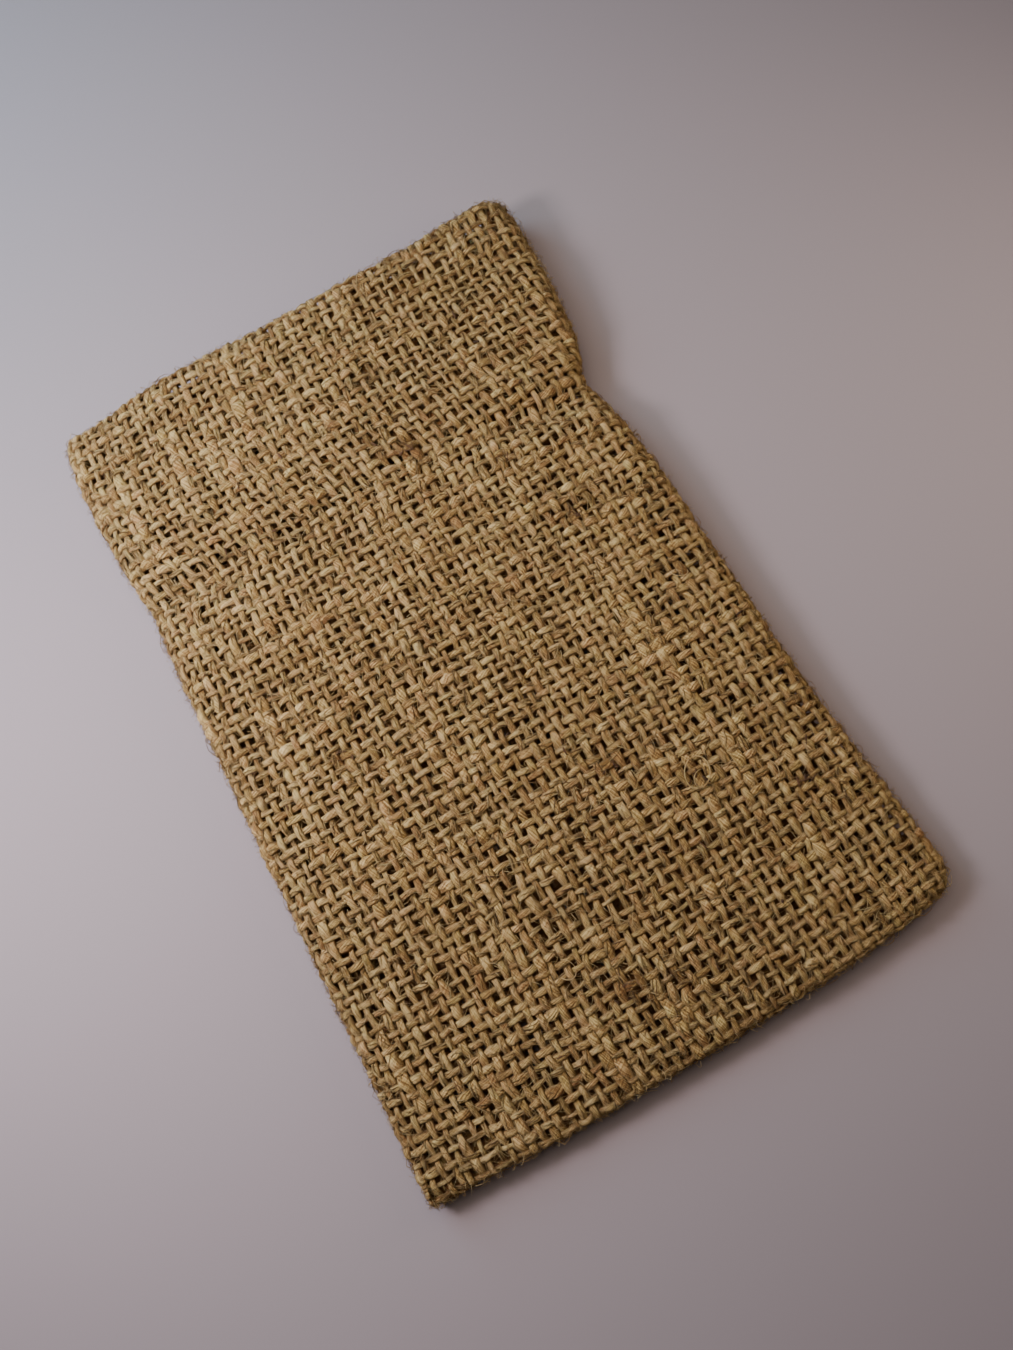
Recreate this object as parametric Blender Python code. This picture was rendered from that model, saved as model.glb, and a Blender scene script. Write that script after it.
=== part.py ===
"""A small, empty jute sack lying on its back.

It is one piece of open plain-weave cloth. The cloth is folded along the right side, sewn along the
left side and the bottom with its cut edges turned inside, and folded in at the mouth as a deep hem.
So the whole sack is one thin, hollow solid, open at the mouth (+Y).

The cloth is described by four numbers: how far down from the mouth, how far across from the left
edge to the right one, how deep below the outer face, and whether on the upper or the lower side.
Tables and sizes are in millimetres; MM turns them into Blender's metres.
"""

import math

import bmesh
import bpy

MM = 0.001

# Driving sizes.
LENGTH = 155.5
CLOTH_THICKNESS = 1.0
HEM_LENGTH = 38.0
HEM_AIR_GAP = 0.3
SEAM_ALLOWANCE_WIDTH = 8.0
SEAM_ALLOWANCE_HEIGHT = 1.5

# The rounded edges: how far each one takes to turn from the upper side to the lower side.
LEFT_SEAM_ROUND = 3.4
RIGHT_FOLD_ROUND = 5.0
BOTTOM_ROUND = 3.2
LEFT_CORNER_RADIUS = 1.2
RIGHT_CORNER_RADIUS = 5.5

# Cross sections of the outer face. Columns: distance down from the mouth, left edge, right edge,
# height of the upper side at the left, in the middle and at the right, and the height at which
# the left and the right edge turn.
DOWN, LEFT, RIGHT, HEIGHT_LEFT, HEIGHT_MIDDLE, HEIGHT_RIGHT, TURN_LEFT, TURN_RIGHT = range(8)
SECTIONS = (
    (0.0, -50.2, 50.3, 7.2, 9.6, 9.2, 2.7, 4.3),
    (8.0, -50.6, 50.6, 7.3, 9.7, 9.4, 2.7, 4.4),
    (20.0, -50.7, 49.6, 7.4, 9.8, 9.5, 2.7, 4.5),
    (30.0, -50.2, 48.4, 7.2, 9.8, 9.1, 2.6, 4.3),
    (36.0, -49.6, 46.9, 6.8, 9.6, 8.4, 2.5, 3.9),
    (41.5, -49.2, 44.9, 6.3, 9.4, 7.0, 2.4, 3.3),
    (46.0, -49.4, 45.7, 6.6, 9.4, 7.7, 2.4, 3.4),
    (54.0, -49.7, 46.8, 6.9, 9.2, 8.3, 2.5, 3.7),
    (66.0, -49.8, 47.5, 6.9, 8.9, 8.2, 2.5, 3.8),
    (90.0, -50.0, 47.8, 6.6, 8.3, 7.4, 2.4, 3.5),
    (113.0, -50.3, 48.3, 6.2, 7.4, 6.6, 2.3, 3.1),
    (134.0, -50.5, 49.8, 5.6, 6.2, 5.8, 2.2, 2.7),
    (148.0, -50.7, 50.8, 5.0, 5.2, 5.1, 2.2, 2.4),
    (155.5, -50.8, 51.0, 4.6, 4.7, 4.7, 2.2, 2.3),
)

# How far the mouth and the bottom edge stand out past a straight line. Columns: place across, from
# 0 at the left edge to 1 at the right one, and the distance.
MOUTH_EDGE = ((0.0, 1.0), (0.05, -0.6), (0.13, -0.3), (0.24, 0.6), (0.45, -0.4), (0.75, 0.0), (0.94, 1.0), (1.0, 0.6))
BOTTOM_EDGE = ((0.0, -0.4), (0.2, 0.5), (0.45, 1.0), (0.7, 0.7), (0.88, -0.2), (1.0, -2.0))
MOUTH_EDGE_REACH = 30.0
BOTTOM_EDGE_REACH = 40.0

# Folds and puckers of the upper side. Columns: distance down, place across from the middle,
# direction in degrees (0 runs across, 90 runs down), half length, half width and rise, which is
# negative for a trough.
FOLDS = (
    # the pucker that runs in from the pinched right side, and the two soft ridges beside it
    (44.5, 33.0, 12.0, 15.0, 2.6, -1.5),
    (38.0, 34.0, 16.0, 12.0, 3.2, 0.7),
    (51.5, 36.0, 8.0, 12.0, 3.6, 0.6),
    # the shallow kink that runs in from the left side
    (41.5, -40.0, 10.0, 13.0, 2.6, -0.8),
    (48.0, -38.0, 8.0, 12.0, 3.6, 0.4),
    # the slack line across the front between the two, along the end of the hem
    (43.0, 0.0, 3.0, 26.0, 3.2, -0.35),
    # the wavy right end of the mouth
    (12.5, 40.0, -4.0, 13.0, 3.0, -0.9),
    (20.0, 40.0, 0.0, 12.0, 3.4, 0.4),
    (30.0, 42.0, 70.0, 10.0, 4.0, -0.6),
    # long, low swells of the slack body
    (72.0, -18.0, 25.0, 34.0, 9.0, 0.4),
    (88.0, 20.0, -20.0, 30.0, 8.0, -0.4),
    (104.0, -22.0, 15.0, 28.0, 8.0, -0.4),
    (120.0, 14.0, 10.0, 30.0, 9.0, 0.4),
)

# How finely the solid is divided.
OUTER_STEPS_DOWN = (
    2.0, 5.0, 8.5, 12.0, 15.5, 19.0, 23.0, 27.0, 31.0, 34.5, 37.5, 40.0, 42.5, 45.0, 48.0, 51.5,
    56.0, 62.0, 70.0, 79.0, 88.0, 97.0, 106.0, 115.0, 124.0, 133.0, 141.0, 148.0,
)
INNER_STEPS_DOWN = (
    2.0, 8.5, 15.5, 23.0, 31.0, 37.5, 42.5, 45.0, 48.0, 54.0, 62.0, 70.0, 79.0, 88.0, 97.0, 106.0,
    115.0, 124.0, 133.0, 140.0, 145.0,
)
HEM_STEPS_DOWN = (2.0, 8.5, 15.5, 23.0, 31.0, 37.5)
FLAT_STEPS_ACROSS = 19
QUARTER_TURN_STEPS = 3
HEM_FOLD_STEPS = 4

JUTE_COLOUR = (0.32, 0.20, 0.085, 1.0)
JUTE_ROUGHNESS = 0.85


def smooth_lookup(table, column, place):
    """A column of a table read at a place between its rows, along a smooth curve."""
    places = [row[0] for row in table]
    values = [row[column] for row in table]
    if place <= places[0]:
        return values[0]
    if place >= places[-1]:
        return values[-1]
    after = next(index for index, here in enumerate(places) if here > place)
    before = after - 1

    def slope(index):
        low, high = max(index - 1, 0), min(index + 1, len(table) - 1)
        return (values[high] - values[low]) / (places[high] - places[low])

    span = places[after] - places[before]
    t = (place - places[before]) / span
    rise = values[after] - values[before]
    start, end = slope(before) * span, slope(after) * span
    return values[before] + t * (start + t * (3 * rise - 2 * start - end + t * (start + end - 2 * rise)))


def quarter_round(distance, radius):
    """Height of a quarter round, from 0 at its edge to 1 where it ends."""
    if distance >= radius:
        return 1.0
    return math.sqrt(max(0.0, 1.0 - (1.0 - distance / radius) ** 2))


def corner_setback(down, radius):
    """How far a side edge draws in at the rounded corner of the bottom."""
    into = down - (LENGTH - radius)
    if into <= 0:
        return 0.0
    return radius * (1.0 - math.sqrt(max(0.0, 1.0 - (into / radius) ** 2)))


def fold_rise(down, across):
    """Rise of the upper side from all folds at one place."""
    rise = 0.0
    for fold_down, fold_across, degrees, half_length, half_width, height in FOLDS:
        turn = math.radians(degrees)
        step_across, step_down = across - fold_across, down - fold_down
        along = (step_across * math.cos(turn) + step_down * math.sin(turn)) / half_length
        beside = (step_down * math.cos(turn) - step_across * math.sin(turn)) / half_width
        rise += height * math.exp(-(along**2) - beside**2)
    return rise


def allowance_height(down, from_left):
    """Height of the cut edges that lie inside, along the left seam and the bottom seam."""
    below_hem = min(1.0, max(0.0, (down - HEM_LENGTH - 3.0) / 4.0))
    side = min(1.0, max(0.0, (SEAM_ALLOWANCE_WIDTH + 1.0 - from_left) / 2.0))
    end = min(1.0, max(0.0, (down - (LENGTH - SEAM_ALLOWANCE_WIDTH - 1.0)) / 2.0))
    return SEAM_ALLOWANCE_HEIGHT * below_hem * max(side, end)


def top_height(down, across, share):
    """Height of the outer face of the upper side, before its edges turn down."""
    lean = 2.0 * share - 1.0
    middle = smooth_lookup(SECTIONS, HEIGHT_MIDDLE, down)
    side = smooth_lookup(SECTIONS, HEIGHT_LEFT if lean < 0 else HEIGHT_RIGHT, down)
    return middle + (side - middle) * lean**2 + fold_rise(down, across)


def across_steps():
    """The columns of one side of the cloth: each is a stretch and a fraction of it."""
    turns = [step / QUARTER_TURN_STEPS for step in range(QUARTER_TURN_STEPS)]
    flats = [step / (FLAT_STEPS_ACROSS - 1) for step in range(FLAT_STEPS_ACROSS)]
    left = [("left", part) for part in turns]
    right = [("right", part) for part in reversed(turns)]
    return left + [("flat", part) for part in flats] + right


def cloth_point(down, depth, end_round, column, upper, with_allowance):
    """A point of the cloth.

    end_round is 1 along the sack and falls to 0 where the bottom edge turns.
    """
    left = smooth_lookup(SECTIONS, LEFT, down) + depth + corner_setback(down, LEFT_CORNER_RADIUS)
    right = smooth_lookup(SECTIONS, RIGHT, down) - depth - corner_setback(down, RIGHT_CORNER_RADIUS)
    left_round = LEFT_SEAM_ROUND - 0.6 * depth
    right_round = RIGHT_FOLD_ROUND - 0.6 * depth
    stretch, part = column
    if stretch == "left":
        across = left + left_round * (1.0 - math.cos(part * math.pi / 2))
        side_round = math.sin(part * math.pi / 2)
    elif stretch == "right":
        across = right - right_round * (1.0 - math.cos(part * math.pi / 2))
        side_round = math.sin(part * math.pi / 2)
    else:
        across = left + left_round + part * (right - right_round - left - left_round)
        side_round = 1.0
    share = (across - left) / (right - left)
    turn_left = smooth_lookup(SECTIONS, TURN_LEFT, down)
    turn_right = smooth_lookup(SECTIONS, TURN_RIGHT, down)
    turn = turn_left + (turn_right - turn_left) * share
    top = top_height(down, across, share)
    roundness = side_round * end_round
    if upper:
        height = turn + (top - depth - turn) * roundness
    else:
        floor = depth
        if with_allowance:
            floor += allowance_height(down, across - left)
        height = turn - (turn - floor) * roundness
    near_mouth = max(0.0, 1.0 - down / MOUTH_EDGE_REACH) ** 2
    near_bottom = max(0.0, 1.0 - (LENGTH - down) / BOTTOM_EDGE_REACH) ** 2
    along = -down + near_mouth * smooth_lookup(MOUTH_EDGE, 1, share)
    along -= near_bottom * smooth_lookup(BOTTOM_EDGE, 1, share)
    return across, along, height


def profile_rows():
    """The closed path of the cloth's surface, from the outer bottom edge round to the inner one.

    Each row is a distance down, a depth, the share of the bottom's turn and whether the seam
    allowances lie under it.
    """
    turns = [step / QUARTER_TURN_STEPS * math.pi / 2 for step in range(QUARTER_TURN_STEPS)]
    hem_inner = 2 * CLOTH_THICKNESS + HEM_AIR_GAP
    hem_outer = CLOTH_THICKNESS + HEM_AIR_GAP
    fold_radius = hem_inner / 2
    crease_down = CLOTH_THICKNESS + HEM_AIR_GAP / 2

    rows = []
    for turn in turns:
        rows.append((LENGTH - BOTTOM_ROUND * (1 - math.cos(turn)), 0.0, math.sin(turn), False))
    for down in reversed(OUTER_STEPS_DOWN):
        rows.append((down, 0.0, 1.0, False))
    for step in range(HEM_FOLD_STEPS + 1):
        turn = step / HEM_FOLD_STEPS * math.pi
        down = fold_radius * (1 - math.sin(turn))
        rows.append((down, fold_radius * (1 - math.cos(turn)), 1.0, False))
    for down in HEM_STEPS_DOWN:
        rows.append((down, hem_inner, 1.0, False))
    rows.append((HEM_LENGTH, hem_inner, 1.0, False))
    rows.append((HEM_LENGTH, hem_outer, 1.0, False))
    for down in reversed(HEM_STEPS_DOWN):
        rows.append((down, hem_outer, 1.0, False))
    rows.append((crease_down, hem_outer - HEM_AIR_GAP / 2, 1.0, False))
    for down in INNER_STEPS_DOWN:
        rows.append((down, CLOTH_THICKNESS, 1.0, True))
    inner_end = LENGTH - 2 * CLOTH_THICKNESS
    inner_round = BOTTOM_ROUND - CLOTH_THICKNESS
    for turn in reversed(turns):
        rows.append((inner_end - inner_round * (1 - math.cos(turn)), CLOTH_THICKNESS, math.sin(turn), True))
    return rows


def ring_of(row, columns):
    """The points of one row, along the upper side and back along the lower side."""
    down, depth, end_round, with_allowance = row
    upper = [cloth_point(down, depth, end_round, column, True, with_allowance) for column in columns]
    if end_round == 0.0:
        return upper
    inner_columns = reversed(columns[1:-1])
    lower = [cloth_point(down, depth, end_round, column, False, with_allowance) for column in inner_columns]
    return upper + lower


def sack_mesh():
    """The mesh of the sack, centred across and along, with its lower side at height 0."""
    columns = across_steps()
    rings = [ring_of(row, columns) for row in profile_rows()]
    points = [point for ring in rings for point in ring]
    middle = [(min(values) + max(values)) / 2 for values in zip(*points)]
    lowest = min(point[2] for point in points)

    work = bmesh.new()
    placed = [
        [
            work.verts.new(((x - middle[0]) * MM, (y - middle[1]) * MM, (z - lowest) * MM))
            for x, y, z in ring
        ]
        for ring in rings
    ]
    round_trip = 2 * len(columns) - 2

    def corner(ring, index):
        """A ring's vertex; the bottom edge has one line of them for both sides."""
        index %= round_trip
        if len(ring) == round_trip or index < len(columns):
            return ring[index]
        return ring[round_trip - index]

    for first, second in zip(placed, placed[1:]):
        for index in range(round_trip):
            loop = [
                corner(first, index),
                corner(first, index + 1),
                corner(second, index + 1),
                corner(second, index),
            ]
            work.faces.new(list(dict.fromkeys(loop)))
    bmesh.ops.recalc_face_normals(work, faces=work.faces)
    mesh = bpy.data.meshes.new("sack_cloth")
    work.to_mesh(mesh)
    work.free()
    return mesh


def jute_material():
    """Plain undyed jute."""
    material = bpy.data.materials.new("jute_cloth")
    material.use_nodes = True
    shader = material.node_tree.nodes["Principled BSDF"]
    shader.inputs["Base Color"].default_value = JUTE_COLOUR
    shader.inputs["Roughness"].default_value = JUTE_ROUGHNESS
    shader.inputs["Metallic"].default_value = 0.0
    return material


for leftover in list(bpy.data.objects):
    bpy.data.objects.remove(leftover, do_unlink=True)

sack = bpy.data.objects.new("sack_cloth", sack_mesh())
sack.data.materials.append(jute_material())
sack.data.shade_smooth()
bpy.context.scene.collection.objects.link(sack)
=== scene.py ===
import math

import bpy
import numpy as np
from mathutils import Matrix, Vector


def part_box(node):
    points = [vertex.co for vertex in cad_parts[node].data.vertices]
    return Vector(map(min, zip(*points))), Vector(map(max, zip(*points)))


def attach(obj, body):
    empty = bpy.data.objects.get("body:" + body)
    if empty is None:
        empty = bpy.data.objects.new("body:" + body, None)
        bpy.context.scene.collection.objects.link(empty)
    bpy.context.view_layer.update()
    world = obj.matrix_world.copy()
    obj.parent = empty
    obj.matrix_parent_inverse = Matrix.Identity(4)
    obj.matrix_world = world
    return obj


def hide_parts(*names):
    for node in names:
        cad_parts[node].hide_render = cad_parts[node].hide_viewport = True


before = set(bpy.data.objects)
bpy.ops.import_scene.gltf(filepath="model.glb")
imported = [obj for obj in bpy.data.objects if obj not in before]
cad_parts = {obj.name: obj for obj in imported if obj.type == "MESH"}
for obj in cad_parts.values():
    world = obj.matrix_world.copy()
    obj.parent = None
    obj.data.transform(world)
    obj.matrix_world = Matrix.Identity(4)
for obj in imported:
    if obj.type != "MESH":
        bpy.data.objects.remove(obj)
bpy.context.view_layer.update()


# ---------------------------------------------------------------------------------------------------
# Lengthwise yarns of the cloth
#
# The sack is one cut piece of open, plain-woven jute. It is folded along the right side, sewn on the
# left side and across the bottom with the cut edges inside, turned in deeply at the mouth, and lies
# empty on its back. Its lengthwise yarns are single, thick, softly twisted bundles of jute fibre.
# ---------------------------------------------------------------------------------------------------

# Lengths are in millimetres, and MM turns them into Blender's metres.
MM = 0.001

CLOTH_LENGTH = 155.5
PANEL_WIDTH = 103.6

# The middle of the cloth lies this deep below its outer face, and the middle of the hem's inner layer
# this deep. The hem's layer is narrower by HEM_TAKE_UP for each millimetre of depth.
MIDDLE_DEPTH = 0.72
HEM_DEPTH = 1.98
HEM_TAKE_UP = 2.4

# The edges are round, and less so for the layers inside, by a share of their depth.
LEFT_SEAM_ROUND = 3.4
RIGHT_FOLD_ROUND = 5.0
BOTTOM_ROUND = 3.2
BOTTOM_ROUND_HEIGHT = 2.0
ROUND_LOST_BY_DEPTH = 0.6
QUARTER_TURN = math.pi / 2

LEFT_CORNER_RADIUS = 1.2
RIGHT_CORNER_RADIUS = 5.5
MOUTH_CORNER_DROP = 2.2
MOUTH_CORNER_DRAW_IN = 0.7
MOUTH_CORNER_REACH_DOWN = 3.0
MOUTH_CORNER_REACH_ACROSS = 2.2

# At the sewn edges the front lies a little above the height at which the edge turns, and the back as
# far below it. The side seam's share is of the sack's width, and the bottom seam fades out at the right.
SEAM_GAP = 0.95
SEAM_GAP_LIMIT = 0.8
SIDE_SEAM_SHARE = 0.12
BOTTOM_SEAM_REACH = 12.0
BOTTOM_SEAM_EASE = 9.0
BOTTOM_SEAM_RIGHT_END = 0.93
BOTTOM_SEAM_RIGHT_EASE = 0.07
ALLOWANCE_CURL = 0.5

# Columns: distance down from the mouth, left edge, right edge, height of the upper side at the left,
# in the middle and at the right, and the height at which the left and the right edge turn.
LEFT, RIGHT, HEIGHT_LEFT, HEIGHT_MIDDLE, HEIGHT_RIGHT, TURN_LEFT, TURN_RIGHT = range(1, 8)
SECTIONS = np.array((
    (0.0, -50.2, 50.3, 7.2, 9.6, 9.2, 2.7, 4.3),
    (8.0, -50.6, 50.6, 7.3, 9.7, 9.4, 2.7, 4.4),
    (20.0, -50.7, 49.6, 7.4, 9.8, 9.5, 2.7, 4.5),
    (30.0, -50.2, 48.4, 7.2, 9.8, 9.1, 2.6, 4.3),
    (36.0, -49.6, 46.9, 6.8, 9.6, 8.4, 2.5, 3.9),
    (41.5, -49.2, 44.9, 6.3, 9.4, 7.0, 2.4, 3.3),
    (46.0, -49.4, 45.7, 6.6, 9.4, 7.7, 2.4, 3.4),
    (54.0, -49.7, 46.8, 6.9, 9.2, 8.3, 2.5, 3.7),
    (66.0, -49.8, 47.5, 6.9, 8.9, 8.2, 2.5, 3.8),
    (90.0, -50.0, 47.8, 6.6, 8.3, 7.4, 2.4, 3.5),
    (113.0, -50.3, 48.3, 6.2, 7.4, 6.6, 2.3, 3.1),
    (134.0, -50.5, 49.8, 5.6, 6.2, 5.8, 2.2, 2.7),
    (148.0, -50.7, 50.8, 5.0, 5.2, 5.1, 2.2, 2.4),
    (155.5, -50.8, 51.0, 4.6, 4.7, 4.7, 2.2, 2.3),
))

# Columns: place across, from 0 at the left edge to 1 at the right one, and how far the edge stands
# out past a straight line.
MOUTH_EDGE = np.array((
    (0.0, 1.0),
    (0.05, -0.6),
    (0.13, -0.3),
    (0.24, 0.6),
    (0.45, -0.4),
    (0.75, 0.0),
    (0.94, 1.0),
    (1.0, 0.6),
))
BOTTOM_EDGE = np.array((
    (0.0, -0.4),
    (0.2, 0.5),
    (0.45, 1.0),
    (0.7, 0.7),
    (0.88, -0.2),
    (1.0, -2.0),
))
MOUTH_EDGE_REACH = 30.0
BOTTOM_EDGE_REACH = 40.0

# Columns: distance down, place across, direction in degrees (0 runs across), half length, half width
# and rise, which is negative for a trough.
FOLDS = (
    (44.5, 33.0, 12.0, 15.0, 2.6, -1.5),
    (38.0, 34.0, 16.0, 12.0, 3.2, 0.7),
    (51.5, 36.0, 8.0, 12.0, 3.6, 0.6),
    (41.5, -40.0, 10.0, 13.0, 2.6, -0.8),
    (48.0, -38.0, 8.0, 12.0, 3.6, 0.4),
    (43.0, 0.0, 3.0, 26.0, 3.2, -0.35),
    (12.5, 40.0, -4.0, 13.0, 3.0, -0.9),
    (20.0, 40.0, 0.0, 12.0, 3.4, 0.4),
    (30.0, 42.0, 70.0, 10.0, 4.0, -0.6),
    (72.0, -18.0, 25.0, 34.0, 9.0, 0.4),
    (88.0, 20.0, -20.0, 30.0, 8.0, -0.4),
    (104.0, -22.0, 15.0, 28.0, 8.0, -0.4),
    (120.0, 14.0, 10.0, 30.0, 9.0, 0.4),
)

# The mouth's straight line, from the middle of the sack's outline.
MOUTH_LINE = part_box("sack_cloth")[1][1] / MM - MOUTH_EDGE[:, 1].max()

# The cloth turns in at the mouth on a half round, and down at the bottom edge on a quarter round.
FOLD_RADIUS = (HEM_DEPTH - MIDDLE_DEPTH) / 2
FOLD_CENTRE = MIDDLE_DEPTH + FOLD_RADIUS
HEM_START = FOLD_CENTRE - math.pi * FOLD_RADIUS
BOTTOM_RUN = BOTTOM_ROUND - ROUND_LOST_BY_DEPTH * MIDDLE_DEPTH
BOTTOM_START = CLOTH_LENGTH - MIDDLE_DEPTH - BOTTOM_RUN
BOTTOM_ARC = QUARTER_TURN * math.hypot(BOTTOM_RUN, BOTTOM_ROUND_HEIGHT) / math.sqrt(2)
BOTTOM_END = BOTTOM_START + BOTTOM_ARC


def curve(value, rise, start, end, t):
    """A smooth curve that climbs from a value by rise, with the slopes start and end, as t goes to 1."""
    return value + t * (start + t * (3 * rise - 2 * start - end + t * (start + end - 2 * rise)))


def smooth_lookup(table, column, place):
    """A column of a table read at many places between its rows, along a smooth curve."""
    rows, values = table[:, 0], table[:, column]
    slopes = np.empty(len(rows))
    slopes[1:-1] = (values[2:] - values[:-2]) / (rows[2:] - rows[:-2])
    slopes[0] = (values[1] - values[0]) / (rows[1] - rows[0])
    slopes[-1] = (values[-1] - values[-2]) / (rows[-1] - rows[-2])
    place = np.clip(place, rows[0], rows[-1])
    cell = np.clip(np.searchsorted(rows, place, side="right") - 1, 0, len(rows) - 2)
    span = rows[cell + 1] - rows[cell]
    t = (place - rows[cell]) / span
    rise = values[cell + 1] - values[cell]
    return curve(values[cell], rise, slopes[cell] * span, slopes[cell + 1] * span, t)


def corner_setback(down, radius):
    """How far a side edge draws in at a rounded corner of the bottom."""
    into = np.clip(down - (CLOTH_LENGTH - radius), 0.0, radius)
    return radius * (1.0 - np.sqrt(1.0 - (into / radius) ** 2))


def fold_rise(down, across):
    """Rise of the upper side from all folds."""
    rise = np.zeros_like(across)
    for fold_down, fold_across, degrees, half_length, half_width, height in FOLDS:
        turn = math.radians(degrees)
        step_across, step_down = across - fold_across, down - fold_down
        along = (step_across * math.cos(turn) + step_down * math.sin(turn)) / half_length
        beside = (step_down * math.cos(turn) - step_across * math.sin(turn)) / half_width
        rise = rise + height * np.exp(-(along**2) - beside**2)
    return rise


def ease(t):
    """0 to 1, level at both ends."""
    t = np.clip(t, 0.0, 1.0)
    return t * t * (3.0 - 2.0 * t)


def lie(along, around):
    """Where places of the cloth lie, on the middle of its thickness.

    along is the cloth's length down from the mouth, negative in the hem. around runs from 0 at the
    left seam over the front to 1 at the right fold, and over the back to 2 at the left seam; less
    than 0 and more than 2 are the cut edges inside.
    """
    mouth_turn = np.clip((FOLD_CENTRE - along) / FOLD_RADIUS, 0.0, math.pi)
    depth = MIDDLE_DEPTH + FOLD_RADIUS * (1.0 - np.cos(mouth_turn))
    bottom_turn = np.clip((along - BOTTOM_START) / BOTTOM_ARC, 0.0, 1.0) * QUARTER_TURN
    past_bottom = np.clip(along - BOTTOM_END, 0.0, None)
    bottom_curl = np.clip(past_bottom / ALLOWANCE_CURL, 0.0, QUARTER_TURN)
    down = np.where(along > FOLD_CENTRE, np.minimum(along, BOTTOM_START), FOLD_CENTRE)
    down = down - FOLD_RADIUS * np.sin(mouth_turn) + np.clip(HEM_START - along, 0.0, None)
    down = down + BOTTOM_RUN * np.sin(bottom_turn)
    back_inside = ALLOWANCE_CURL * (1.0 - np.cos(bottom_curl))
    back_inside = back_inside + np.clip(past_bottom - ALLOWANCE_CURL * QUARTER_TURN, 0.0, None)

    past_seam = (np.clip(-around, 0.0, None) + np.clip(around - 2.0, 0.0, None)) * PANEL_WIDTH
    seam_curl = np.clip(past_seam / ALLOWANCE_CURL, 0.0, QUARTER_TURN)

    left = smooth_lookup(SECTIONS, LEFT, down) + depth + corner_setback(down, LEFT_CORNER_RADIUS)
    right = smooth_lookup(SECTIONS, RIGHT, down) - depth - corner_setback(down, RIGHT_CORNER_RADIUS)
    turn_left = smooth_lookup(SECTIONS, TURN_LEFT, down)
    turn_right = smooth_lookup(SECTIONS, TURN_RIGHT, down)
    top_left = smooth_lookup(SECTIONS, HEIGHT_LEFT, down)
    top_right = smooth_lookup(SECTIONS, HEIGHT_RIGHT, down)
    left_run = LEFT_SEAM_ROUND - ROUND_LOST_BY_DEPTH * depth
    right_run = RIGHT_FOLD_ROUND - ROUND_LOST_BY_DEPTH * depth
    flat_run = right - left - left_run - right_run

    def turn_arc(run, rise):
        """Length of the quarter round that turns an edge."""
        return QUARTER_TURN * np.hypot(run, rise) / math.sqrt(2)

    over_left = turn_arc(left_run, top_left - turn_left - depth)
    over_right = turn_arc(right_run, top_right - turn_right - depth)
    under_left = turn_arc(left_run, turn_left - depth)
    under_right = turn_arc(right_run, turn_right - depth)
    upper_trip = over_left + flat_run + over_right
    whole_trip = upper_trip + under_left + flat_run + under_right

    # The front's yarns keep their spacing, so where the sack is pinched the last ones roll under.
    front_width = PANEL_WIDTH - HEM_TAKE_UP * (depth - MIDDLE_DEPTH)
    on_front = np.clip(around, 0.0, 1.0)
    on_back = np.clip(around - 1.0, 0.0, 1.0)
    walked = on_front * front_width + on_back * (whole_trip - front_width)
    upper = walked <= upper_trip
    side = np.where(upper, 1.0, -1.0)
    left_arc = np.where(upper, over_left, under_left)
    right_arc = np.where(upper, over_right, under_right)
    round_trip = left_arc + flat_run + right_arc
    walked = np.where(upper, walked, whole_trip - walked)
    left_angle = np.clip(walked / left_arc, 0.0, 1.0) * QUARTER_TURN
    right_angle = np.clip((round_trip - walked) / right_arc, 0.0, 1.0) * QUARTER_TURN
    across = left + left_run * (1.0 - np.cos(left_angle)) + np.clip(walked - left_arc, 0.0, flat_run)
    across = across + right_run * np.cos(right_angle)
    roundness = np.sin(left_angle) * np.sin(right_angle) * np.cos(bottom_turn)

    share = (across - left) / (right - left)
    lean = 2.0 * share - 1.0
    middle = smooth_lookup(SECTIONS, HEIGHT_MIDDLE, down)
    top = middle + (np.where(lean < 0, top_left, top_right) - middle) * lean**2
    top = top + fold_rise(down, across)
    turn = turn_left + (turn_right - turn_left) * share
    past_seam_end = ease((share - BOTTOM_SEAM_RIGHT_END) / BOTTOM_SEAM_RIGHT_EASE)
    at_bottom = ease((down - CLOTH_LENGTH + BOTTOM_SEAM_REACH) / BOTTOM_SEAM_EASE) * (1.0 - past_seam_end)
    at_seam = np.maximum(1.0 - ease(share / SIDE_SEAM_SHARE), at_bottom)
    start = turn + side * np.minimum(SEAM_GAP, SEAM_GAP_LIMIT * (turn - depth)) * at_seam
    height = start + (np.where(upper, top - depth, depth) - start) * roundness
    height = height - side * ALLOWANCE_CURL * np.maximum(np.sin(seam_curl), np.sin(bottom_curl))

    across = across + ALLOWANCE_CURL * (1.0 - np.cos(seam_curl))
    across = across + np.clip(past_seam - ALLOWANCE_CURL * QUARTER_TURN, 0.0, None)
    near_mouth = np.clip(1.0 - down / MOUTH_EDGE_REACH, 0.0, None) ** 2
    near_bottom = np.clip(1.0 - (CLOTH_LENGTH - down) / BOTTOM_EDGE_REACH, 0.0, None) ** 2
    up = MOUTH_LINE - down + back_inside
    up = up + near_mouth * smooth_lookup(MOUTH_EDGE, 1, share)
    from_left = np.clip(across - left, 0.0, None)
    at_corner = np.exp(-down / MOUTH_CORNER_REACH_DOWN) * np.exp(-from_left / MOUTH_CORNER_REACH_ACROSS)
    up = up - MOUTH_CORNER_DROP * at_corner
    across = across + MOUTH_CORNER_DRAW_IN * at_corner
    up = up - near_bottom * smooth_lookup(BOTTOM_EDGE, 1, share)
    return np.stack((across, up, height), axis=-1)


def unit(vectors):
    """The vectors at length 1."""
    return vectors / np.maximum(np.linalg.norm(vectors, axis=-1, keepdims=True), 1e-9)


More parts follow.
